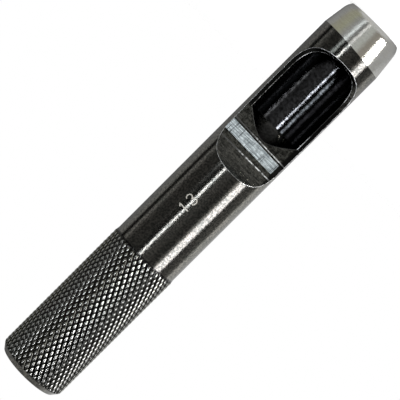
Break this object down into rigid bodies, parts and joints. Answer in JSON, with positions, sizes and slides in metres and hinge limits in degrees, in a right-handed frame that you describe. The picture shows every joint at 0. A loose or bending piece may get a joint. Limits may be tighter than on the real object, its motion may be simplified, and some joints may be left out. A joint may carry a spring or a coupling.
{
  "type": "drive hole punch",
  "caption": "Round drive punch that cuts 13 mm holes in leather: sharp tubular end, side window for the slugs, plain shank and knurled grip.",
  "frame": {"origin": "centre of the circular cutting edge, which the punch stands on", "axes": "+Z along the bar from the cutting edge to the striking face; the slug window faces -Y"},
  "size_m": [0.0164, 0.0164, 0.1026],
  "materials": {
    "ground_steel": "bright steel, ground round the tip",
    "black_steel": "glossy black oxide on turned steel",
    "knurled_steel": "black oxide on a diamond knurl, brighter on the crests"
  },
  "bodies": {
    "root": {"cutting_edge": "ground_steel", "slug_barrel": "black_steel", "plain_shank": "black_steel", "knurled_grip": "knurled_steel", "striking_end": "black_steel"}
  },
  "joints": []
}
